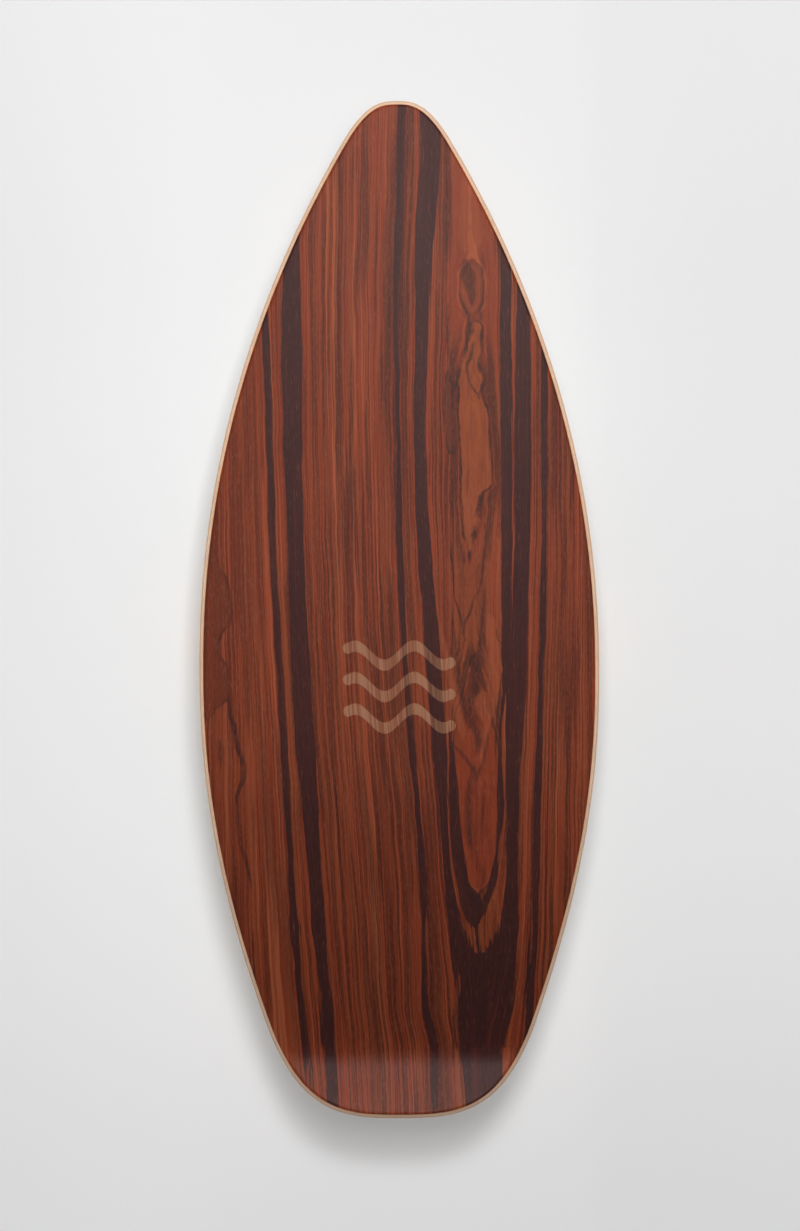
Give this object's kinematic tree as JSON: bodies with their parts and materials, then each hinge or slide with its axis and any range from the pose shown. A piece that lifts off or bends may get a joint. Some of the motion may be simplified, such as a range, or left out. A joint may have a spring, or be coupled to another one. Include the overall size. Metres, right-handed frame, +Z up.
{
  "type": "balance board with roller",
  "caption": "Surfboard-shaped laminated wood deck with an upturned tail and stopper bars underneath, lying level on a cork-covered roller that rolls along its underside.",
  "frame": {"origin": "on the floor, under the middle of the deck's length and width", "axes": "+Y along the deck towards the pointed nose, +X to the right seen from above with the nose ahead, +Z up"},
  "size_m": [0.335, 0.85, 0.1343],
  "materials": {
    "rosewood_veneer": "satin lacquer over dark striped rosewood",
    "birch_ply": "lacquered ply edge",
    "birch_face": "satin lacquer",
    "beech_stopper": "oiled",
    "black_rubber": "matt",
    "zinc_steel": "zinc plated",
    "cork": "raw granulated cork",
    "core_plastic": "matt",
    "beech_disc": "oiled, turned"
  },
  "bodies": {
    "deck": {"top_veneer": "rosewood_veneer", "core_ply_1": "birch_ply", "core_ply_2": "birch_ply", "core_ply_3": "birch_ply", "core_ply_4": "birch_ply", "core_ply_5": "birch_ply", "core_ply_6": "birch_ply", "core_ply_7": "birch_ply", "bottom_veneer": "birch_face", "stopper_nose": "beech_stopper", "stopper_tail": "beech_stopper", "bumper_strip_nose": "black_rubber", "bumper_strip_tail": "black_rubber", "screw_nose_1": "zinc_steel", "screw_nose_2": "zinc_steel", "screw_nose_3": "zinc_steel", "screw_tail_1": "zinc_steel", "screw_tail_2": "zinc_steel", "screw_tail_3": "zinc_steel", "floor_pad_nose": "black_rubber", "floor_pad_tail": "black_rubber"},
    "roller_carrier": {"roller_core": "core_plastic"},
    "roller": {"roller_sleeve": "cork", "roller_end_left": "beech_disc", "roller_end_right": "beech_disc"}
  },
  "joints": [
    {"name": "roller_travel", "type": "slide", "parent": "deck", "child": "roller_carrier", "axis": [0, 1, 0], "range_m": [-0.2167, 0.2607]},
    {"name": "roller_spin", "type": "hinge", "parent": "roller_carrier", "child": "roller", "pos_m": [0, -0.027, 0.055], "axis": [1, 0, 0], "range_deg": [-226, 272]}
  ],
  "couplings": [
    {"joint": "roller_spin", "follows": "roller_travel", "rad_per_m": 18.182}
  ]
}
